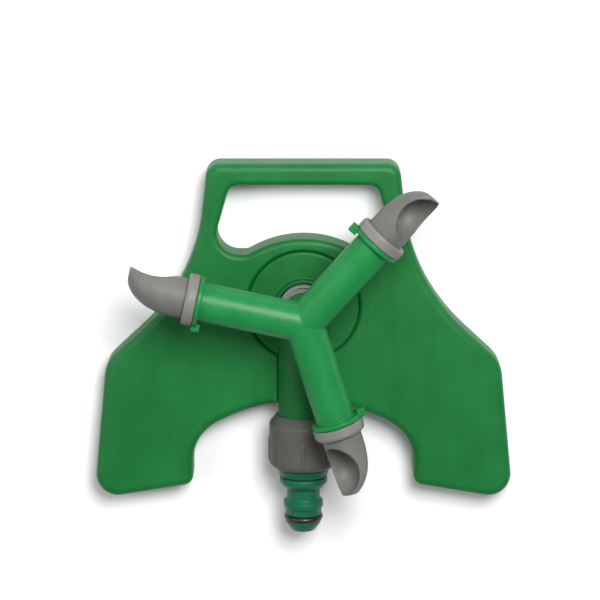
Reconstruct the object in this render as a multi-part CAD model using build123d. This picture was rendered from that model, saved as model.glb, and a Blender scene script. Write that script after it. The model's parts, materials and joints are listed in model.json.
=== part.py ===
"""Three-arm rotating lawn sprinkler on a flat carrying base.

Frame: millimetres, +Z up along the rotor's axis, origin on the ground under that axis.
The carrying handle is on the +Y side and the hose is pushed on from the -Y side.
"""
from build123d import *
import os
from math import atan2, cos, degrees, radians, sin

os.makedirs("parts", exist_ok=True)

# ---------------------------------------------------------------- clearances
RUN_FIT = 0.06        # radial play of a shaft that turns in its bore
SLIP = 0.3            # play between faces that must never touch
SEAT = 0.1            # play between fixed pieces that are pushed or screwed together
AXIAL_PLAY = 0.2      # end play of the turning pieces
TURN_FIT = 0.1        # radial play of a piece that is turned by hand
SEAL_PLAY = 0.03      # how far a ring seal stops short of its bore and its groove

# ---------------------------------------------------------------- base moulding
BASE_TOP = 16.0       # height of the base's flat top
BASE_WALL = 2.6
EDGE_ROUND = 3.4      # rounding of the outer top edge
HOLE_ROUND = 2.4      # rounding of the grip hole's top edge
HANDLE_Y = 62.0       # far edge of the handle bar
HANDLE_HALF = 41.0    # half width at the handle
HANDLE_R = 6.0
FLARE_X, FLARE_Y, FLARE_R = 47.2, 10.3, 85.0              # waist, where the sides sweep out
SHOULDER_X, SHOULDER_Y, SHOULDER_R = 85.9, -25.9, 15.0
FOOT_X, FOOT_Y, FOOT_R = 92.1, -87.5, 9.5
FOOT_RISE = 7.3       # how much higher the foot's inner corner is than its outer one
INNER_R = 4.5
ARCH_HALF = 48.3      # half width of the arch between the legs
ARCH_SPRING_Y = -70.0
ARCH_FLANK_R = 20.0
ARCH_TOP_Y = -42.5
GRIP_TOP_Y = 52.8     # grip hole under the handle bar
GRIP_LOW_Y = 22.5
GRIP_HALF_TOP = 31.5
GRIP_HALF_LOW = 40.2
GRIP_TOP_R = 5.0
GRIP_LOW_R = 9.5
GRIP_CROWN_Y = 29.4   # the hole's lower edge bows up round the hub
GRIP_CROWN_R = 44.5
GRIP_CREST_R = 6.0
FACET_IN_X, FACET_IN_Y = 71.0, -14.0    # crease of the sloping leg margin, shoulder end
FACET_OUT_X, FACET_OUT_Y = 87.0, -78.0  # the same crease at the foot
FACET_SLOPE = 16.0    # degrees
FACET_BLEND = 60.0    # radius that softens the crease
RIB = 1.8             # thickness of the stiffening ribs
RIB_DROP = 3.0        # ribs stop this far above the ground
RIB_SPACING = 24.0

# ---------------------------------------------------------------- waterway moulding
PIPE_R = 11.0
PIPE_Z = 16.0
PIPE_BORE_R = 8.0
THREAD_R = 10.48      # half-inch pipe thread, crest radius
THREAD_ROOT_R = 9.35
THREAD_PITCH = 1.814
THREAD_LENGTH = 11.5
THREAD_RELIEF = 0.8   # plain run at either end of the thread
PIPE_END_Y = -60.0
DISC_R = 24.0
DISC_THICK = 2.6
DISC_ROUND = 1.1      # rounding of the disc's edge, and bevel of the edge round it
BOSS_R = 9.5
BOSS_TOP = 19.2
WELL_R = 5.5
WELL_FLOOR = 7.0
LINK_R = 3.8          # passage from the pipe to the well, below the spindle cap
LINK_Z = 11.4
FOOT_PAD_R = 7.0
LEDGE_WIDTH = 6.0
LEDGE_DEPTH = 5.0
SCREW_CIRCLE_R = 18.0
SCREW_ANGLES = (42.0, 138.0, 206.0, 334.0)
SCREW_R = 1.5
SCREW_HEAD_R = 2.9
SCREW_HEAD = 1.8
SCREW_LENGTH = 6.0
EAR_R = 4.0
EAR_THICK = 2.6
PILLAR_R = 2.7

# ---------------------------------------------------------------- spindle and rotor bearing
CAP_R = 10.7
CAP_TOP = 22.8
CAP_PLATE = 2.4
HUB_LIP_R = 12.4      # green lip that stands round the cap
HUB_LIP_INNER_R = 11.2
HUB_LIP_TOP = 20.2
HUB_LIP_ROUND = 0.4
SPINDLE_R = 6.0
SPINDLE_BORE_R = 3.3
SNAP_HEIGHT = 0.35    # how far the snap bead stands out of the spindle
SNAP_PLAY = 0.4
SNAP_LENGTH = 1.4
SLOT_WIDTH = 1.5
WASHER_THICK = 0.7
RING_SECTION = 1.8    # section of the spindle's ring seal

# ---------------------------------------------------------------- rotor
ROTOR_Z = 45.5        # height of the three arms' axes
REST_ANGLE = 48.0     # direction of the first arm from +X
ARM_COUNT = 3
ARM_R = 8.3
ARM_BORE_R = 5.46
ARM_END = 45.8        # from the rotor's axis to the outer face of an arm's flange
ARM_FLANGE_R = 10.6
ARM_FLANGE = 2.0
TAB_OUT = 2.4
TAB_WIDTH = 4.6
TAB_LENGTH = 3.6
ARM_THREAD_R = 9.9
ARM_THREAD = 2.6
STEM_R = ARM_R
WASHER_R = STEM_R + 0.3

# ---------------------------------------------------------------- nozzles
COLLAR_R = 10.9
COLLAR_LENGTH = 4.7
COLLAR_LIP = 1.0
SPOON_R = 8.5         # radius of the nozzle where it leaves its collar
SPOON_TIP = 30.0      # from the flange's outer face to the tip
SPOON_ROOT = 9.5      # where the spoon starts to curve in
SPOON_TIP_HALF = 4.0  # half width of the tip
SPOON_TIP_THICK = 4.0 # height of the blunt tip
SPOON_SHARES = (0.0, 0.12, 0.3, 0.5, 0.7, 0.85, 0.95, 0.99)
HOLLOW_AT = 18.9      # middle of the hollow, from the flange's outer face
HOLLOW_DEPTH, HOLLOW_HALF, HOLLOW_RUN = 12.0, 8.1, 10.6
JET_R = 1.6
PLUG_R = ARM_BORE_R - RUN_FIT
PLUG_BORE_R = 3.0
PLUG_LENGTH = 9.0     # length of the plug inside the arm
NOZZLE_RING = 1.3
NOZZLE_TWISTS = (50.0, -35.0, 50.0)   # how far each nozzle's open side is turned up

# ---------------------------------------------------------------- hose connector
NUT_R = 14.85
NUT_BACK_Y = -47.4
NUT_FRONT_Y = -70.5
NUT_SHOULDER = 3.8
NUT_LIP = 3.3
NUT_LIP_R = 9.1
NUT_RIBS = 8
NUT_RIB_WIDTH = 1.5
NUT_RIB_HEIGHT = 0.4
NUT_RIB_LENGTH = 11.5
GASKET_THICK = 2.6
SPIGOT_BORE_R = 5.0
SNAP_COLLAR_R = 9.8
SPIGOT_FLANGE_R = 11.4
SPIGOT_FLANGE = 4.0
SPIGOT_RING_R = 10.4
SPIGOT_RING = 4.4
NECK_R = 7.2
NECK_LENGTH = 5.8
BEAD_R = 8.6
BEAD_LENGTH = 4.4
LAND_R = 7.9
LAND_LENGTH = 2.6
HOSE_RING = 2.6       # section of the O-ring on the spigot
HOSE_RING_R = 8.55    # its outer radius, just under the bead's
NOSE_LENGTH = 4.6


# ================================================================= small helpers
def tube_z(outer, inner, low, high):
    """Upright ring between two heights."""
    wall = Pos(0, 0, low) * Cylinder(outer, high - low, align=(Align.CENTER, Align.CENTER, Align.MIN))
    if inner <= 0:
        return wall
    return wall - Pos(0, 0, low - 1) * Cylinder(
        inner, high - low + 2, align=(Align.CENTER, Align.CENTER, Align.MIN))


def rod_y(radius, start, stop, z):
    """Cylinder along Y, from start to stop, with its axis at height z."""
    return Plane((0, start, z), x_dir=(1, 0, 0), z_dir=(0, -1, 0)) * Cylinder(
        radius, start - stop, align=(Align.CENTER, Align.CENTER, Align.MIN))


def turned(points, plane):
    """Solid of revolution about a plane's Z, from (radius, height) corners."""
    profile = make_face(Polyline(*[(r, h) for r, h in points], close=True))
    return plane * revolve(Plane.XZ * profile, Axis.Z)


def ring_seal(centre_r, section_r, height, plane):
    """O-ring about a plane's Z."""
    return plane * Pos(0, 0, height) * Torus(centre_r, section_r)


def connector_plane():
    """Plane on the pipe's axis whose Z runs out along the hose, from Y = 0."""
    return Plane((0, 0, PIPE_Z), x_dir=(1, 0, 0), z_dir=(0, -1, 0))


def arm_plane(index):
    """Plane at an arm's outer flange face: Z outward, X towards the clockwise side."""
    angle = radians(REST_ANGLE + 360.0 / ARM_COUNT * index)
    outward = (cos(angle), sin(angle), 0)
    side = (sin(angle), -cos(angle), 0)
    origin = (ARM_END * outward[0], ARM_END * outward[1], ROTOR_Z)
    return Plane(origin, x_dir=side, z_dir=outward)


# ================================================================= base
def base_outline():
    """Closed outline of the base, symmetric about X = 0."""
    rise = ARCH_TOP_Y - ARCH_SPRING_Y
    run = ARCH_HALF - ARCH_FLANK_R
    crown_r = (run ** 2 + rise ** 2 - ARCH_FLANK_R ** 2) / (2 * (rise - ARCH_FLANK_R))
    crown_y = ARCH_TOP_Y - crown_r
    meet = degrees(atan2(ARCH_SPRING_Y - crown_y, run))
    side = FilletPolyline(
        (0, HANDLE_Y), (HANDLE_HALF, HANDLE_Y), (FLARE_X, FLARE_Y), (SHOULDER_X, SHOULDER_Y),
        (FOOT_X, FOOT_Y), (ARCH_HALF, FOOT_Y + FOOT_RISE), (ARCH_HALF, ARCH_SPRING_Y),
        radius=[HANDLE_R, FLARE_R, SHOULDER_R, FOOT_R, INNER_R])
    flank = CenterArc((run, ARCH_SPRING_Y), ARCH_FLANK_R, 0, meet)
    crown = CenterArc((0, crown_y), crown_r, meet, 90 - meet)
    half = Curve() + [side, flank, crown]
    return make_face(half + mirror(half, about=Plane.YZ))


def grip_outline(grow=0.0):
    """Grip hole under the handle bar, made larger all round by grow."""
    hole = make_face(FilletPolyline(
        (GRIP_HALF_TOP, GRIP_TOP_Y), (GRIP_HALF_LOW, GRIP_LOW_Y), (-GRIP_HALF_LOW, GRIP_LOW_Y),
        (-GRIP_HALF_TOP, GRIP_TOP_Y), radius=[GRIP_TOP_R, GRIP_LOW_R, GRIP_LOW_R, GRIP_TOP_R],
        close=True))
    hole -= Pos(0, GRIP_CROWN_Y - GRIP_CROWN_R) * Circle(GRIP_CROWN_R)
    corners = hole.vertices().filter_by(lambda v: abs(v.Y - GRIP_LOW_Y) < 0.5).sort_by(Axis.X)
    inner = sorted(corners, key=lambda v: abs(v.X))[:2]
    hole = fillet(inner, GRIP_CREST_R)
    return offset(hole, amount=grow) if grow else hole


def margin_cutter(drop):
    """Wedge that slopes the outer margin of the right leg, lowered by drop."""
    start = Vector(FACET_IN_X, FACET_IN_Y, BASE_TOP - drop)
    along = (Vector(FACET_OUT_X, FACET_OUT_Y, BASE_TOP - drop) - start).normalized()
    outward = Vector(-along.Y, along.X, 0)
    normal = outward * sin(radians(FACET_SLOPE)) + Vector(0, 0, 1) * cos(radians(FACET_SLOPE))
    slope = Plane(start, x_dir=along, z_dir=normal)
    return slope * Box(400, 200, 40, align=(Align.CENTER, Align.CENTER, Align.MIN))


def base_form(inset):
    """The base's outer form, or its hollow when it is inset by the wall."""
    outline = offset(base_outline(), amount=-inset) if inset else base_outline()
    low = -1.0 if inset else 0.0
    form = extrude(Pos(0, 0, low) * outline, amount=BASE_TOP - inset - low)
    cutter = margin_cutter(inset)
    form -= cutter
    form -= mirror(cutter, about=Plane.YZ)
    return form


def top_edges(solid):
    """Edges of the faces that look up: those between two of them, and those against a wall."""
    tops = [f for f in solid.faces() if f.normal_at(f.center()).Z > 0.5]
    creases = []
    rim = []
    for face in tops:
        for edge in face.edges():
            others = [f for f in tops if f is not face]
            if any(edge.is_same(e) for f in others for e in f.edges()):
                creases.append(edge)
            else:
                rim.append(edge)
    return creases, rim


def ribs():
    """Stiffening ribs under the base: two fans down the legs and a row across the handle end."""
    height = BASE_TOP - BASE_WALL / 2 - RIB_DROP
    bars = []
    for side in (1, -1):
        for step in range(3):
            x = side * (DISC_R + LEDGE_WIDTH + 6 + RIB_SPACING * step * 0.75)
            bars.append(Pos(x, -30, RIB_DROP + height / 2) * Box(RIB, 130, height))
    for y in (FLARE_Y - 4, SHOULDER_Y - 8, SHOULDER_Y - 8 - RIB_SPACING * 1.2):
        bars.append(Pos(0, y, RIB_DROP + height / 2) * Box(4 * FOOT_X, RIB, height))
    return bars


def base_plate():
    """Hollow base moulding: skirted shell, ribs, hub ledge, pipe saddle and screw ears."""
    solid = base_form(0.0)
    solid = fillet(top_edges(solid)[0], FACET_BLEND)
    solid = fillet(top_edges(solid)[1], EDGE_ROUND)
    hole = extrude(Pos(0, 0, -1) * grip_outline(), amount=BASE_TOP + 2)
    solid -= hole
    rim = [e for e in solid.edges().filter_by(lambda e: abs(e.center().Z - BASE_TOP) < 0.01)
           if GRIP_LOW_Y - 1 < e.center().Y < GRIP_TOP_Y + 1 and abs(e.center().X) < GRIP_HALF_LOW]
    solid = fillet(rim, HOLE_ROUND)
    core = base_form(BASE_WALL)
    core -= extrude(Pos(0, 0, -2) * grip_outline(BASE_WALL), amount=BASE_TOP + 4)
    outer = base_form(0.0)
    grate = core & (Compound(children=ribs()))
    solid -= core
    ledge_top = BASE_TOP - DISC_THICK
    ledge = tube_z(DISC_R + LEDGE_WIDTH / 2, DISC_R - LEDGE_WIDTH / 2, ledge_top - LEDGE_DEPTH, ledge_top)
    saddle = rod_y(PIPE_R + SLIP + 2.0, -DISC_R + 1, ARCH_TOP_Y, PIPE_Z) & outer
    solid += saddle
    clear = tube_z(DISC_R + LEDGE_WIDTH / 2, 0, 0, BASE_TOP - BASE_WALL)
    for piece in grate.solids():
        solid += piece - clear
    solid += ledge
    ear_top = ledge_top - LEDGE_DEPTH + EAR_THICK
    for angle in SCREW_ANGLES:
        x = SCREW_CIRCLE_R * cos(radians(angle))
        y = SCREW_CIRCLE_R * sin(radians(angle))
        reach = DISC_R - LEDGE_WIDTH / 2 - SCREW_CIRCLE_R + 0.5
        ear = Pos(x, y, ear_top - EAR_THICK) * Cylinder(
            EAR_R, EAR_THICK, align=(Align.CENTER, Align.CENTER, Align.MIN))
        ear += Pos(0, 0, ear_top - EAR_THICK) * Rot(0, 0, angle) * Pos(SCREW_CIRCLE_R, 0, 0) * Box(
            reach, 2 * EAR_R, EAR_THICK, align=(Align.MIN, Align.CENTER, Align.MIN))
        ear -= Pos(x, y, 0) * Cylinder(SCREW_R + SLIP, 4 * BASE_TOP)
        solid += ear
    solid -= tube_z(DISC_R + SLIP, 0, ledge_top, BASE_TOP + 1)
    mouth_r = DISC_R + SLIP - 0.1
    solid -= turned([(mouth_r, BASE_TOP - DISC_ROUND), (mouth_r + DISC_ROUND + 0.2, BASE_TOP + 0.1),
                     (mouth_r, BASE_TOP + 0.1)], Plane.XY)
    solid -= rod_y(PIPE_R + SLIP, 0, 3 * ARCH_TOP_Y, PIPE_Z)
    return solid


# ================================================================= waterway
def pipe_thread():
    """Threaded end of the pipe, as rings at the thread's pitch, down to the pipe's axis."""
    start = -PIPE_END_Y - THREAD_LENGTH
    points = [(0, start - 1), (THREAD_ROOT_R, start - 1), (THREAD_ROOT_R, start + THREAD_RELIEF)]
    for turn in range(int((THREAD_LENGTH - 2 * THREAD_RELIEF) / THREAD_PITCH)):
        low = start + THREAD_RELIEF + THREAD_PITCH * turn
        points.append((THREAD_R, low + 0.35 * THREAD_PITCH))
        points.append((THREAD_R, low + 0.65 * THREAD_PITCH))
        points.append((THREAD_ROOT_R, low + THREAD_PITCH))
    points += [(THREAD_ROOT_R, -PIPE_END_Y), (0, -PIPE_END_Y)]
    return turned(points, connector_plane())


def inlet_manifold():
    """Disc, hub, pipe and threaded inlet in one moulding, with its water passages."""
    disc = tube_z(DISC_R, 0, BASE_TOP - DISC_THICK, BASE_TOP)
    disc = fillet(disc.edges().filter_by(GeomType.CIRCLE).sort_by(Axis.Z)[-1], DISC_ROUND)
    pipe = rod_y(PIPE_R, 0, PIPE_END_Y + THREAD_LENGTH, PIPE_Z)
    above = tube_z(HUB_LIP_INNER_R, 0, BASE_TOP, BASE_TOP + 4 * PIPE_R)
    above += Pos(0, 0, BASE_TOP) * Box(4 * DISC_R, 2 * DISC_R, 4 * PIPE_R,
                                       align=(Align.CENTER, Align.MIN, Align.MIN))
    solid = disc + (pipe - above) + pipe_thread()
    lip = tube_z(HUB_LIP_R, HUB_LIP_INNER_R, BASE_TOP - DISC_THICK / 2, HUB_LIP_TOP)
    solid += fillet(lip.edges().filter_by(GeomType.CIRCLE).sort_by(Axis.Z)[-2:], HUB_LIP_ROUND)
    solid += tube_z(BOSS_R, 0, WELL_FLOOR - BASE_WALL, BOSS_TOP)
    solid += tube_z(FOOT_PAD_R, 0, 0, WELL_FLOOR)
    for angle in SCREW_ANGLES:
        x = SCREW_CIRCLE_R * cos(radians(angle))
        y = SCREW_CIRCLE_R * sin(radians(angle))
        top = BASE_TOP - DISC_THICK
        low = top - LEDGE_DEPTH + EAR_THICK
        solid += Pos(x, y, low) * Cylinder(
            PILLAR_R, top - low, align=(Align.CENTER, Align.CENTER, Align.MIN))
        solid -= Pos(x, y, low - 1) * Cylinder(
            SCREW_R, SCREW_LENGTH - EAR_THICK + 1.2, align=(Align.CENTER, Align.CENTER, Align.MIN))
    solid -= rod_y(PIPE_BORE_R, -CAP_R - 4, PIPE_END_Y - 1, PIPE_Z)
    solid -= rod_y(LINK_R, 0, -CAP_R - 8, LINK_Z)
    solid -= tube_z(WELL_R, 0, WELL_FLOOR, BOSS_TOP + 1)
    return solid


def manifold_screws():
    """Four pan-head screws that hold the waterway up into the base."""
    head_top = BASE_TOP - DISC_THICK - LEDGE_DEPTH
    screws = []
    for angle in SCREW_ANGLES:
        x = SCREW_CIRCLE_R * cos(radians(angle))
        y = SCREW_CIRCLE_R * sin(radians(angle))
        head = Pos(0, 0, head_top - SCREW_HEAD) * Cylinder(
            SCREW_HEAD_R, SCREW_HEAD, align=(Align.CENTER, Align.CENTER, Align.MIN))
        head = fillet(head.edges().filter_by(GeomType.CIRCLE).sort_by(Axis.Z)[0], 0.8)
        recess = Box(2.8, 0.7, 2.0) + Box(0.7, 2.8, 2.0)
        head -= Pos(0, 0, head_top - SCREW_HEAD) * recess
        shank = tube_z(SCREW_R, 0, head_top, head_top + SCREW_LENGTH - 0.6)
        tip = Pos(0, 0, head_top + SCREW_LENGTH - 0.6) * Cone(
            SCREW_R, SCREW_R - 0.6, 0.6, align=(Align.CENTER, Align.CENTER, Align.MIN))
        screws.append(Pos(x, y, 0) * Rot(0, 0, angle) * (head + shank + tip))
    return Compound(children=screws)


# ================================================================= spindle
STEM_LOW = CAP_TOP + WASHER_THICK + AXIAL_PLAY
SPINDLE_TOP = ROTOR_Z - ARM_BORE_R - 2.0
BEAD_TOP = SPINDLE_TOP - 1.2
TOP_RING_Z = STEM_LOW + 5.0
TOP_RING_R = SPINDLE_R + RUN_FIT - SEAL_PLAY


def pivot_spindle():
    """Screw-on cap with the hollow spindle that the rotor turns on."""
    skirt = tube_z(CAP_R, BOSS_R + SEAT, BASE_TOP + SEAT, CAP_TOP)
    skirt = chamfer(skirt.edges().filter_by(GeomType.CIRCLE).filter_by(
        lambda e: e.center().Z > CAP_TOP - 0.01 and e.radius > CAP_R - 0.1), 0.4)
    solid = skirt + tube_z(CAP_R - 1, SPINDLE_BORE_R, CAP_TOP - CAP_PLATE, CAP_TOP)
    solid -= tube_z(CAP_R - 0.9, WASHER_R, CAP_TOP - 1.0, CAP_TOP + 1)
    shaft = tube_z(SPINDLE_R, SPINDLE_BORE_R, CAP_TOP - CAP_PLATE, SPINDLE_TOP)
    bead = turned([
        (SPINDLE_R - 1, BEAD_TOP - SNAP_LENGTH), (SPINDLE_R, BEAD_TOP - SNAP_LENGTH),
        (SPINDLE_R + SNAP_HEIGHT, BEAD_TOP - SNAP_LENGTH + 0.3),
        (SPINDLE_R + SNAP_HEIGHT, BEAD_TOP - 0.6), (SPINDLE_R - 0.2, BEAD_TOP + 0.2),
        (SPINDLE_R - 1, BEAD_TOP + 0.2)], Plane.XY)
    solid += shaft + bead
    groove_r = TOP_RING_R - RING_SECTION - SEAL_PLAY
    solid -= tube_z(SPINDLE_R + 1, groove_r, TOP_RING_Z - RING_SECTION / 2 - 0.2,
                    TOP_RING_Z + RING_SECTION / 2 + 0.2)
    slot_low = TOP_RING_Z + RING_SECTION / 2 + 1.6
    slot = Pos(0, 0, slot_low) * Box(4 * SPINDLE_R, SLOT_WIDTH, 2 * SPINDLE_TOP,
                                     align=(Align.CENTER, Align.CENTER, Align.MIN))
    solid -= slot + Rot(0, 0, 90) * slot
    return solid


def spindle_seals():
    """Flat gasket under the cap and ring seal on the spindle."""
    gasket = tube_z(BOSS_R - 0.2, SPINDLE_BORE_R + 1.6, BOSS_TOP, CAP_TOP - CAP_PLATE)
    ring = ring_seal(TOP_RING_R - RING_SECTION / 2, RING_SECTION / 2, TOP_RING_Z, Plane.XY)
    return gasket, ring


def slip_washer():
    """Thin bearing washer between the cap and the rotor's stem."""
    return tube_z(WASHER_R, SPINDLE_R + SEAT, CAP_TOP, CAP_TOP + WASHER_THICK)


# ================================================================= rotor
def rotor_body():
    """Three arms on a hollow stem, with their flanges, tabs and threaded ends."""
    solid = tube_z(STEM_R, 0, STEM_LOW, ROTOR_Z)
    solid = chamfer(solid.edges().filter_by(GeomType.CIRCLE).sort_by(Axis.Z)[0], 0.5)
    solid += Pos(0, 0, ROTOR_Z) * Sphere(ARM_R)
    for index in range(ARM_COUNT):
        plane = arm_plane(index)
        solid += plane * Pos(0, 0, -ARM_END) * Cylinder(
            ARM_R, ARM_END, align=(Align.CENTER, Align.CENTER, Align.MIN))
    for index in range(ARM_COUNT):
        plane = arm_plane(index)
        flange = Pos(0, 0, -ARM_FLANGE) * Cylinder(
            ARM_FLANGE_R, ARM_FLANGE, align=(Align.CENTER, Align.CENTER, Align.MIN))
        flange = fillet(flange.edges().filter_by(GeomType.CIRCLE), 0.5)
        tab = Pos(-ARM_FLANGE_R + 1, 0, -TAB_LENGTH) * Box(
            TAB_OUT + 1, TAB_WIDTH, TAB_LENGTH, align=(Align.MAX, Align.CENTER, Align.MIN))
        tab = fillet(tab.edges().filter_by(Axis.Z).sort_by(Axis.X)[:2], 0.8)
        thread = Cylinder(ARM_THREAD_R, ARM_THREAD, align=(Align.CENTER, Align.CENTER, Align.MIN))
        solid += plane * (flange + tab + thread)
    for index in range(ARM_COUNT):
        solid -= arm_plane(index) * Pos(0, 0, -ARM_END) * Cylinder(
            ARM_BORE_R, ARM_END + ARM_THREAD + 1, align=(Align.CENTER, Align.CENTER, Align.MIN))
    solid -= tube_z(ARM_BORE_R, 0, STEM_LOW, ROTOR_Z)
    solid -= Pos(0, 0, ROTOR_Z) * Sphere(ARM_BORE_R)
    solid -= tube_z(SPINDLE_R + RUN_FIT, 0, STEM_LOW - 1, SPINDLE_TOP + 0.8)
    bead_room = SPINDLE_R + SNAP_HEIGHT + SNAP_PLAY
    solid -= tube_z(bead_room, 0, BEAD_TOP - SNAP_LENGTH - SNAP_PLAY, BEAD_TOP + SNAP_PLAY)
    return solid


# ================================================================= nozzles
def nozzle_collar():
    """Ring nut that traps a nozzle on its arm, about the flange plane's Z."""
    solid = turned([
        (ARM_THREAD_R + SEAT, 0.15), (COLLAR_R - 0.4, 0.15), (COLLAR_R, 0.55),
        (COLLAR_R, COLLAR_LENGTH - 1.1), (COLLAR_R - 0.5, COLLAR_LENGTH),
        (SPOON_R + TURN_FIT, COLLAR_LENGTH), (SPOON_R + TURN_FIT, COLLAR_LENGTH - COLLAR_LIP),
        (ARM_THREAD_R + SEAT, COLLAR_LENGTH - COLLAR_LIP)], Plane.XY)
    return solid


def spoon_section(share):
    """Ellipse across the spoon, its front on one straight line and its back curving up to it."""
    tip_back = SPOON_R - SPOON_TIP_THICK
    back = tip_back - (tip_back + SPOON_R) * (1.0 - share ** 2) ** 0.55
    half_w = SPOON_TIP_HALF + (SPOON_R - SPOON_TIP_HALF) * (1.0 - share ** 4)
    station = SPOON_ROOT + (SPOON_TIP - SPOON_ROOT) * share
    return Pos((SPOON_R + back) / 2, 0, station) * Ellipse((SPOON_R - back) / 2, half_w)


def nozzle_spoon():
    """Nozzle with its plug, flange and open curved deflector; X is the open side."""
    outer = loft([spoon_section(share) for share in SPOON_SHARES])
    body = outer + Pos(0, 0, ARM_THREAD + 0.2) * Cylinder(
        SPOON_R, SPOON_ROOT - ARM_THREAD - 0.2, align=(Align.CENTER, Align.CENTER, Align.MIN))
    flange_top = COLLAR_LENGTH - COLLAR_LIP - 0.15
    body += Pos(0, 0, ARM_THREAD + 0.2) * Cylinder(
        ARM_THREAD_R + SEAT - TURN_FIT, flange_top - ARM_THREAD - 0.2,
        align=(Align.CENTER, Align.CENTER, Align.MIN))
    body += Pos(0, 0, -PLUG_LENGTH) * Cylinder(
        PLUG_R, PLUG_LENGTH + ARM_THREAD + 1, align=(Align.CENTER, Align.CENTER, Align.MIN))
    hollow = scale(Sphere(1.0), by=(HOLLOW_DEPTH, HOLLOW_HALF, HOLLOW_RUN))
    body -= Pos(SPOON_R, 0, HOLLOW_AT) * hollow
    body -= Pos(0, 0, -PLUG_LENGTH - 1) * Cylinder(
        PLUG_BORE_R, PLUG_LENGTH + 1 + SPOON_ROOT - 2.0,
        align=(Align.CENTER, Align.CENTER, Align.MIN))
    body -= Cylinder(JET_R, HOLLOW_AT, align=(Align.CENTER, Align.CENTER, Align.MIN))
    groove_r = ARM_BORE_R - NOZZLE_RING - 2 * SEAL_PLAY
    middle = -PLUG_LENGTH / 2
    body -= Pos(0, 0, middle) * (
        Cylinder(PLUG_R + 1, NOZZLE_RING + 0.4) - Cylinder(groove_r, NOZZLE_RING + 0.4))
    return body


def nozzle_seal():
    """O-ring in the plug's groove, about the flange plane's Z."""
    section = NOZZLE_RING / 2
    return Pos(0, 0, -PLUG_LENGTH / 2) * Torus(ARM_BORE_R - SEAL_PLAY - section, section)


# ================================================================= hose connector
LIP_BACK = -NUT_FRONT_Y - NUT_LIP
GASKET_BACK = -PIPE_END_Y + SLIP
TAIL_FACE = GASKET_BACK + GASKET_THICK
FLANGE_BACK = -NUT_FRONT_Y + SLIP
RING_BACK = FLANGE_BACK + SPIGOT_FLANGE + 0.8
NECK_BACK = RING_BACK + SPIGOT_RING
BEAD_BACK = NECK_BACK + NECK_LENGTH
LAND_BACK = BEAD_BACK + BEAD_LENGTH
HOSE_RING_AT = LAND_BACK + LAND_LENGTH + HOSE_RING / 2
NOSE_BACK = HOSE_RING_AT + HOSE_RING / 2 + 0.2
TIP = NOSE_BACK + NOSE_LENGTH


def union_nut():
    """Grip nut: thread at the back, lip at the front, slim ribs to grip."""
    back = -NUT_BACK_Y
    front = -NUT_FRONT_Y
    solid = turned([
        (THREAD_R + SEAT, back), (PIPE_R + 0.6, back), (NUT_R - 1.2, back + NUT_SHOULDER - 1.2),
        (NUT_R - 0.35, back + NUT_SHOULDER - 0.2), (NUT_R, back + NUT_SHOULDER + 0.8),
        (NUT_R, front - 1.8), (NUT_R - 0.5, front - 0.7), (NUT_R - 1.3, front),
        (NUT_LIP_R, front), (NUT_LIP_R, front - NUT_LIP), (THREAD_R + SEAT, front - NUT_LIP)],
        Plane.XY)
    rib_front = front - 1.2
    side = make_face(Polyline(
        (NUT_R - 3, rib_front - NUT_RIB_LENGTH), (NUT_R, rib_front - NUT_RIB_LENGTH),
        (NUT_R + NUT_RIB_HEIGHT, rib_front - NUT_RIB_LENGTH + 1.0),
        (NUT_R + NUT_RIB_HEIGHT, rib_front - 1.4), (NUT_R - 0.4, rib_front),
        (NUT_R - 3, rib_front), close=True))
    rib = extrude(Plane.XZ * side, amount=NUT_RIB_WIDTH / 2, both=True)
    for step in range(NUT_RIBS):
        solid += Rot(0, 0, 360.0 / NUT_RIBS * step) * rib
    counterbore = Pos(0, 0, back - 1) * Cylinder(
        PIPE_R + SEAT, -PIPE_END_Y - THREAD_LENGTH - back + 1 + SLIP,
        align=(Align.CENTER, Align.CENTER, Align.MIN))
    return connector_plane() * (solid - counterbore)


def hose_spigot():
    """Snap-in tail, flange and the profile that a hose connector grips."""
    collar_front = LIP_BACK - SLIP
    solid = turned([
        (0, TAIL_FACE), (SNAP_COLLAR_R - 0.8, TAIL_FACE), (SNAP_COLLAR_R, TAIL_FACE + 1.0),
        (SNAP_COLLAR_R, collar_front), (NUT_LIP_R - TURN_FIT, collar_front),
        (NUT_LIP_R - TURN_FIT, FLANGE_BACK), (SPIGOT_FLANGE_R, FLANGE_BACK),
        (SPIGOT_FLANGE_R, FLANGE_BACK + 1.2), (SPIGOT_FLANGE_R - 0.9, FLANGE_BACK + SPIGOT_FLANGE),
        (SPIGOT_RING_R - 1.4, FLANGE_BACK + SPIGOT_FLANGE), (SPIGOT_RING_R - 1.4, RING_BACK),
        (SPIGOT_RING_R - 0.4, RING_BACK), (SPIGOT_RING_R, RING_BACK + 0.6),
        (SPIGOT_RING_R, RING_BACK + SPIGOT_RING - 2.0), (SPIGOT_RING_R - 1.6, NECK_BACK),
        (NECK_R, NECK_BACK + 0.4), (NECK_R, BEAD_BACK - 0.3), (BEAD_R - 0.5, BEAD_BACK + 0.6),
        (BEAD_R, BEAD_BACK + 1.1), (BEAD_R, LAND_BACK - 1.1), (LAND_R, LAND_BACK),
        (LAND_R, NOSE_BACK), (LAND_R - 0.9, NOSE_BACK + 1.8), (LAND_R - 2.6, TIP - 0.4),
        (LAND_R - 3.2, TIP), (0, TIP)], Plane.XY)
    groove_r = HOSE_RING_R - HOSE_RING - SEAL_PLAY
    solid -= Pos(0, 0, HOSE_RING_AT) * (
        Cylinder(LAND_R + 1, HOSE_RING + 0.3) - Cylinder(groove_r, HOSE_RING + 0.3))
    solid -= Pos(0, 0, TAIL_FACE - 1) * Cylinder(
        SPIGOT_BORE_R, TIP - TAIL_FACE + 2, align=(Align.CENTER, Align.CENTER, Align.MIN))
    return connector_plane() * solid


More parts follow.
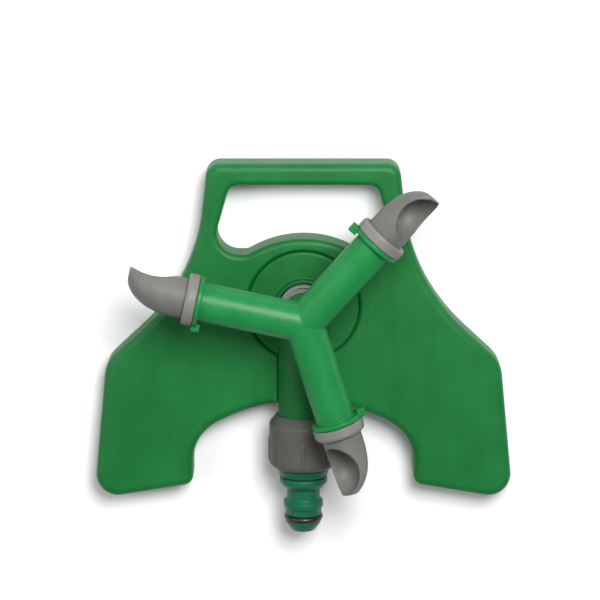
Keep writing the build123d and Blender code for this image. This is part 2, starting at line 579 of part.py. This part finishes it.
def spigot_o_ring():
    """O-ring that seals the spigot in the hose connector."""
    section = HOSE_RING / 2
    return ring_seal(HOSE_RING_R - section, section, HOSE_RING_AT, connector_plane())


def inlet_gasket():
    """Flat rubber gasket between the pipe's end and the spigot's tail."""
    ring = Cylinder(THREAD_R - 0.5, GASKET_THICK, align=(Align.CENTER, Align.CENTER, Align.MIN))
    ring -= Cylinder(SPIGOT_BORE_R + 1.0, 3 * GASKET_THICK)
    return connector_plane() * Pos(0, 0, GASKET_BACK) * ring


def write_parts():
    """Build every piece and write one STEP file for each."""
    gasket, top_ring = spindle_seals()
    pieces = {
        "base_plate": base_plate(),
        "inlet_manifold": inlet_manifold(),
        "manifold_screws": manifold_screws(),
        "pivot_spindle": pivot_spindle(),
        "spindle_gasket": gasket,
        "spindle_ring_seal": top_ring,
        "slip_washer": slip_washer(),
        "rotor_body": rotor_body(),
        "union_nut": union_nut(),
        "hose_spigot": hose_spigot(),
        "spigot_o_ring": spigot_o_ring(),
        "inlet_gasket": inlet_gasket(),
    }
    for index, letter in enumerate("abc"[:ARM_COUNT]):
        plane = arm_plane(index)
        twist = Rot(0, 0, -NOZZLE_TWISTS[index])
        pieces["nozzle_collar_" + letter] = plane * nozzle_collar()
        pieces["nozzle_" + letter] = plane * twist * nozzle_spoon()
        pieces["nozzle_seal_" + letter] = plane * nozzle_seal()
    for name, shape in pieces.items():
        export_step(shape, "parts/" + name + ".step")


write_parts()
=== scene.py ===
# %% [markdown]
# # A rotating lawn sprinkler
#
# The sprinkler is a flat green base with a carrying handle, a spinner of three arms whose ends
# carry grey scoop nozzles, and a hose connector at the front. Its shapes come from the CAD
# frame. This script gives every piece the finish of the real one: moulded plastics with their
# fine grain, rubber seals and zinc-plated screws. Then it lights them as in a small studio.

# %% Load the frame
import json
import math
import bpy
import numpy as np
from mathutils import Matrix, Vector


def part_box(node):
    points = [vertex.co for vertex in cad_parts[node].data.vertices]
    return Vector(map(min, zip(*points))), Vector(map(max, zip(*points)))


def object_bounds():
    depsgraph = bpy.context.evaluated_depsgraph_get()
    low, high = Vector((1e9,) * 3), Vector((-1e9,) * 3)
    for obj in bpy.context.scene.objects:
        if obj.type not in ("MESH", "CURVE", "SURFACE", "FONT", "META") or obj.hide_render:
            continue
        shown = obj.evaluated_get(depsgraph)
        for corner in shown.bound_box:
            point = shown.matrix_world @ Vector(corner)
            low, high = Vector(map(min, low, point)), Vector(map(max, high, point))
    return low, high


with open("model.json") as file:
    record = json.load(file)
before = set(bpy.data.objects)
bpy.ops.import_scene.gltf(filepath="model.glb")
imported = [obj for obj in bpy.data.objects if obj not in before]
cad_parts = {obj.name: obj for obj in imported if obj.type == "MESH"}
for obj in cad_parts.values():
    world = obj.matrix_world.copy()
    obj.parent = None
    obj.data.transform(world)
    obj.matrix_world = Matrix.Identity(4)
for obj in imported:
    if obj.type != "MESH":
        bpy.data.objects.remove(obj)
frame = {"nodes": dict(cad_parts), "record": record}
nodes = frame["nodes"]
cad_low, cad_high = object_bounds()
print("CAD nodes:", len(nodes), "box from", tuple(cad_low), "to", tuple(cad_high))

# %% [markdown]
# ## Places that the rest of the script needs
#
# Positions come from the frame's own boxes: the base's flat top and the
# ground. Nothing is typed in twice.

# %% Key heights
GROUND = cad_low[2]
BASE_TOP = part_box("base_plate")[1][2]
MM = 0.001
print("base top at", round(BASE_TOP / MM, 2), "mm")

# %% [markdown]
# ## Camera
#
# The sprinkler lies flat and is seen almost straight from above, from a little beyond the
# handle. A long lens keeps the far and near parts at nearly one scale. The camera's three
# directions are worked out from its tilt and put straight into its matrix.

# %% Camera
TILT = math.radians(13.0)
LENS = 144.0
DISTANCE = 1.032
AIM = Vector((-0.0015, 0.0030, BASE_TOP))
FILM_WIDTH = 36.0       # millimetres, as LENS is
NEAR, FAR = 0.05, 20.0

toward = Vector((0.0, math.sin(TILT), math.cos(TILT)))
upward = Vector((0.0, math.cos(TILT), -math.sin(TILT)))
rightward = upward.cross(toward)
camera = bpy.data.objects.new("camera", bpy.data.cameras.new("camera"))
bpy.context.scene.collection.objects.link(camera)
camera.data.sensor_width = FILM_WIDTH
camera.data.lens = LENS
camera.data.clip_start = NEAR
camera.data.clip_end = FAR
pose = Matrix((rightward, upward, toward)).transposed().to_4x4()
pose.translation = AIM + DISTANCE * toward
camera.matrix_world = pose
bpy.context.scene.camera = camera
print("camera at", tuple(round(v, 3) for v in camera.matrix_world.translation))

# %% [markdown]
# ## Floor and studio light
#
# The floor is a plain pale sheet. One broad lamp hangs over the handle, a little to the right,
# and makes the soft shadows under the arms. A weak lamp fills them from the left, and a plain
# white world does the rest.

# %% Lights
MIDDLE = Vector((0.0, 0.0, 0.0))
KEY_PLACE, KEY_SIZE, KEY_POWER = (0.20, 0.42, 0.80), 0.40, 10.5
FILL_PLACE, FILL_SIZE, FILL_POWER = (-0.7, 0.15, 0.6), 0.6, 2.6
WORLD_STRENGTH = 0.30


def soft_lamp(name, place, size, power):
    """Square area lamp of that size at place, facing the middle of the ground."""
    lamp = bpy.data.objects.new(name, bpy.data.lights.new(name, "AREA"))
    lamp.data.shape = "SQUARE"
    lamp.data.size = size
    lamp.data.energy = power
    lamp.location = place
    lamp.rotation_euler = (MIDDLE - Vector(place)).to_track_quat("-Z", "Y").to_euler()
    bpy.context.scene.collection.objects.link(lamp)


soft_lamp("key_lamp", KEY_PLACE, KEY_SIZE, KEY_POWER)
soft_lamp("fill_lamp", FILL_PLACE, FILL_SIZE, FILL_POWER)
world = bpy.data.worlds.new("studio")
bpy.context.scene.world = world
world.use_nodes = True
sky = world.node_tree.nodes["Background"].inputs
sky["Color"].default_value = (1.0, 1.0, 1.0, 1.0)
sky["Strength"].default_value = WORLD_STRENGTH
bpy.context.scene.view_settings.view_transform = "Standard"

# %% [markdown]
# ## Writing shaders as sums
#
# A finish is arithmetic on patterns: a bit of grain, a bit of mottling, a lighter edge. The
# `Wire` class wraps a socket, so that `1 - mask * 0.4` adds the Math nodes by itself. Every
# other node comes from one method, `Finish.node`.

# %% Shader helper
BEVEL_SAMPLES = 4


class Wire:
    """A socket that can be added, subtracted and multiplied like a number."""

    def __init__(self, finish, socket):
        self.finish = finish
        self.socket = socket

    def _math(self, operation, first, second):
        return self.finish.node("ShaderNodeMath", {"operation": operation}, {0: first, 1: second})

    def __add__(self, other):
        return self._math("ADD", self, other)

    __radd__ = __add__

    def __sub__(self, other):
        return self._math("SUBTRACT", self, other)

    def __rsub__(self, other):
        return self._math("SUBTRACT", other, self)

    def __mul__(self, other):
        return self._math("MULTIPLY", self, other)


class Finish:
    """One material with a Principled shader, and the patterns that feed it."""

    def __init__(self, name):
        self.material = bpy.data.materials.new(name)
        self.material.use_nodes = True
        self.tree = self.material.node_tree
        self.shader = self.tree.nodes["Principled BSDF"]
        self.place = self.node("ShaderNodeTexCoord", {}, {}, "Object")

    def node(self, kind, settings, inputs, output=0):
        """Adds a node, sets its settings, then its inputs, and returns one output as a Wire."""
        made = self.tree.nodes.new(kind)
        for key, value in settings.items():
            setattr(made, key, value)
        for key, value in inputs.items():
            if isinstance(value, Wire):
                self.tree.links.new(value.socket, made.inputs[key])
            else:
                made.inputs[key].default_value = value
        return Wire(self, made.outputs[output])

    def noise(self, scale, detail=2.0, roughness=0.5, place=None):
        """Smooth random pattern from 0 to 1, with that many lumps in a metre."""
        return self.node("ShaderNodeTexNoise", {}, {
            "Vector": place or self.place, "Scale": scale, "Detail": detail,
            "Roughness": roughness}, "Fac")

    def band(self, value, low, high):
        """0 below low, 1 above high, smooth between."""
        return self.node("ShaderNodeMapRange", {"interpolation_type": "SMOOTHSTEP"}, {
            "Value": value, "From Min": low, "From Max": high}, "Result")

    def blend(self, share, first, second):
        """Colour that goes from first to second as share goes from 0 to 1."""
        return self.node("ShaderNodeMix", {"data_type": "RGBA"}, {
            "Factor": share, 6: first, 7: second}, 2)

    def edges(self, radius):
        """The normal rounded over radius, and a mask: 1 on sharp edges, 0 on flat faces."""
        rounded = self.node("ShaderNodeBevel", {"samples": BEVEL_SAMPLES},
                            {"Radius": radius}, "Normal")
        straight = self.node("ShaderNodeNewGeometry", {}, {}, "Normal")
        cosine = self.node("ShaderNodeVectorMath", {"operation": "DOT_PRODUCT"},
                           {0: rounded, 1: straight}, "Value")
        return rounded, self.band(1.0 - cosine, low=0.01, high=0.22)

    def set(self, **sockets):
        """Puts a number, a colour or a Wire on each named socket of the shader."""
        for key, value in sockets.items():
            socket = self.shader.inputs[key.replace("_", " ")]
            if isinstance(value, Wire):
                self.tree.links.new(value.socket, socket)
            else:
                socket.default_value = value


def rgba(red, green, blue):
    """Linear colour with full alpha."""
    return (red, green, blue, 1.0)


print("shader helper ready")

# %% [markdown]
# ## Moulded plastic
#
# Almost the whole sprinkler is injection-moulded polypropylene. Up close it has three things:
# a very fine spark-eroded grain, slow waves where the plastic shrank over its ribs, and faint
# cloudy differences of colour where the melt flowed. Rubbing polishes and lightens the edges.
# One function makes each plastic from these, with different amounts.

# %% Moulded plastic
CLOUDS, STREAKS, WAVES, SCUFFS, SPARKS = 38.0, 140.0, 55.0, 420.0, 2600.0   # lumps in a metre
STREAK_STRETCH = (1.0, 0.25, 1.0)
WORN_EDGE = 0.9 * MM
RELIEF = 1.2 * MM
PLASTIC_IOR = 1.49
PLASTIC_SPECULAR = 0.28


def moulded_plastic(name, dark, light, edge, roughness, grain=1.0, waves=1.0, wear=0.35):
    """Plastic between two colours, with grain and waves in its bump and lighter worn edges."""
    finish = Finish(name)
    cloud = finish.noise(CLOUDS, detail=4.0, roughness=0.6)
    streak_place = finish.node("ShaderNodeMapping", {}, {
        "Vector": finish.place, "Scale": STREAK_STRETCH})
    streak = finish.noise(STREAKS, detail=3.0, roughness=0.6, place=streak_place)
    fine = finish.noise(SPARKS, detail=2.0, roughness=0.6)
    wave = finish.noise(WAVES, detail=1.0, roughness=0.4)
    scuff = finish.noise(SCUFFS, detail=5.0, roughness=0.7)
    rounded, rim = finish.edges(WORN_EDGE)
    tone = finish.band(cloud * 0.6 + streak * 0.4, low=0.34, high=0.66)
    body = finish.blend(tone, dark, light)
    rubbed = rim * finish.band(scuff, low=0.35, high=0.7) * wear
    speck = finish.band(fine, low=0.3, high=0.75)
    gloss = roughness + (tone - 0.5) * 0.06 + (speck - 0.5) * 0.08 - rubbed * 0.12
    relief = fine * (0.012 * grain) + wave * (0.12 * waves)
    bump = finish.node("ShaderNodeBump", {}, {
        "Height": relief, "Distance": RELIEF, "Strength": 0.55, "Normal": rounded}, "Normal")
    finish.set(Base_Color=finish.blend(rubbed, body, edge), Roughness=gloss, Normal=bump,
               IOR=PLASTIC_IOR, Specular_IOR_Level=PLASTIC_SPECULAR)
    return finish.material


finishes = {
    "base_green": moulded_plastic(
        "base_green", rgba(0.003, 0.117, 0.022), rgba(0.005, 0.144, 0.029),
        rgba(0.03, 0.26, 0.07), 0.46),
    "waterway_green": moulded_plastic(
        "waterway_green", rgba(0.003, 0.104, 0.020), rgba(0.004, 0.128, 0.026),
        rgba(0.03, 0.24, 0.06), 0.47),
    "rotor_green": moulded_plastic(
        "rotor_green", rgba(0.006, 0.164, 0.037), rgba(0.010, 0.200, 0.049),
        rgba(0.05, 0.36, 0.12), 0.40, 0.7),
    "connector_green": moulded_plastic(
        "connector_green", rgba(0.003, 0.090, 0.042), rgba(0.005, 0.112, 0.054),
        rgba(0.03, 0.24, 0.14), 0.41, 0.6),
    "collar_grey": moulded_plastic(
        "collar_grey", rgba(0.165, 0.162, 0.148), rgba(0.200, 0.195, 0.180),
        rgba(0.34, 0.34, 0.32), 0.48),
    "nozzle_grey": moulded_plastic(
        "nozzle_grey", rgba(0.116, 0.115, 0.108), rgba(0.150, 0.148, 0.138),
        rgba(0.25, 0.25, 0.24), 0.50, 1.3),
    "nut_grey": moulded_plastic(
        "nut_grey", rgba(0.068, 0.069, 0.060), rgba(0.086, 0.087, 0.077),
        rgba(0.19, 0.19, 0.18), 0.50, 1.2),
    "spindle_grey": moulded_plastic(
        "spindle_grey", rgba(0.18, 0.20, 0.185), rgba(0.22, 0.24, 0.225),
        rgba(0.38, 0.40, 0.38), 0.38),
    "washer_white": moulded_plastic(
        "washer_white", rgba(0.20, 0.21, 0.20), rgba(0.24, 0.25, 0.24),
        rgba(0.36, 0.37, 0.36), 0.40),
}
print("plastics:", sorted(finishes))

# %% [markdown]
# ## Rubber and zinc
#
# The O-rings are greased black rubber, smooth but not mirror bright, with a few dusty spots.
# The screws under the base are zinc plated: bright metal with turning marks and small stains.

# %% Rubber and zinc
RUBBER_IOR = 1.52


def greased_rubber(name):
    """Black rubber with a thin uneven film of grease."""
    finish = Finish(name)
    film = finish.band(
        finish.noise(500.0, detail=3.0, roughness=0.6), low=0.35, high=0.7)
    dust = finish.band(
        finish.noise(1900.0, detail=3.0, roughness=0.7), low=0.62, high=0.75)
    fine = finish.noise(5200.0, detail=2.0, roughness=0.5)
    bump = finish.node("ShaderNodeBump", {}, {
        "Height": fine * 0.02, "Distance": 1.0 * MM, "Strength": 0.5}, "Normal")
    colour = finish.blend(dust * 0.35, rgba(0.008, 0.008, 0.009), rgba(0.05, 0.05, 0.048))
    finish.set(Base_Color=colour, Roughness=0.42 - film * 0.2 + dust * 0.15, Normal=bump,
               IOR=RUBBER_IOR)
    return finish.material


def zinc_plate(name):
    """Bright zinc with fine marks and a few duller stains."""
    finish = Finish(name)
    marks = finish.noise(3600.0, detail=3.0, roughness=0.6)
    stain = finish.band(
        finish.noise(700.0, detail=4.0, roughness=0.6), low=0.45, high=0.7)
    bump = finish.node("ShaderNodeBump", {}, {
        "Height": marks * 0.01, "Distance": 1.0 * MM, "Strength": 0.5}, "Normal")
    colour = finish.blend(stain, rgba(0.62, 0.63, 0.64), rgba(0.42, 0.42, 0.40))
    finish.set(Base_Color=colour, Roughness=0.3 + stain * 0.2, Metallic=1.0 - stain * 0.1,
               Normal=bump)
    return finish.material


finishes["black_rubber"] = greased_rubber("black_rubber")
finishes["screw_steel"] = zinc_plate("screw_steel")
print("finishes in all:", len(finishes))

# %% [markdown]
# ## The floor
#
# One square, a little mottled so that it doesn't look like paper.

# %% Floor
FLOOR_HALF = 3.0


def pale_floor(half_side):
    """Flat square sheet at ground level, worked out as four corners."""
    corners = np.array([[-1, -1], [1, -1], [1, 1], [-1, 1]], float) * half_side
    mesh = bpy.data.meshes.new("floor")
    mesh.from_pydata(np.c_[corners, np.full(4, GROUND)].tolist(), [], [(0, 1, 2, 3)])
    floor = bpy.data.objects.new("floor", mesh)
    bpy.context.scene.collection.objects.link(floor)
    finish = Finish("floor")
    grain = finish.noise(60.0, detail=3.0, roughness=0.5)
    finish.set(Base_Color=finish.blend(grain, rgba(0.84, 0.84, 0.84), rgba(0.87, 0.87, 0.87)),
               Roughness=0.9)
    mesh.materials.append(finish.material)


pale_floor(FLOOR_HALF)
print("floor at", GROUND)

# %% [markdown]
# ## Giving each piece its finish
#
# The record says which finish each node takes, so the script reads it from there.

# %% Assign the finishes
for subpart in frame["record"]["subparts"]:
    node = nodes[subpart["node"]]
    node.data.materials.clear()
    node.data.materials.append(finishes[subpart["material_slot"]])
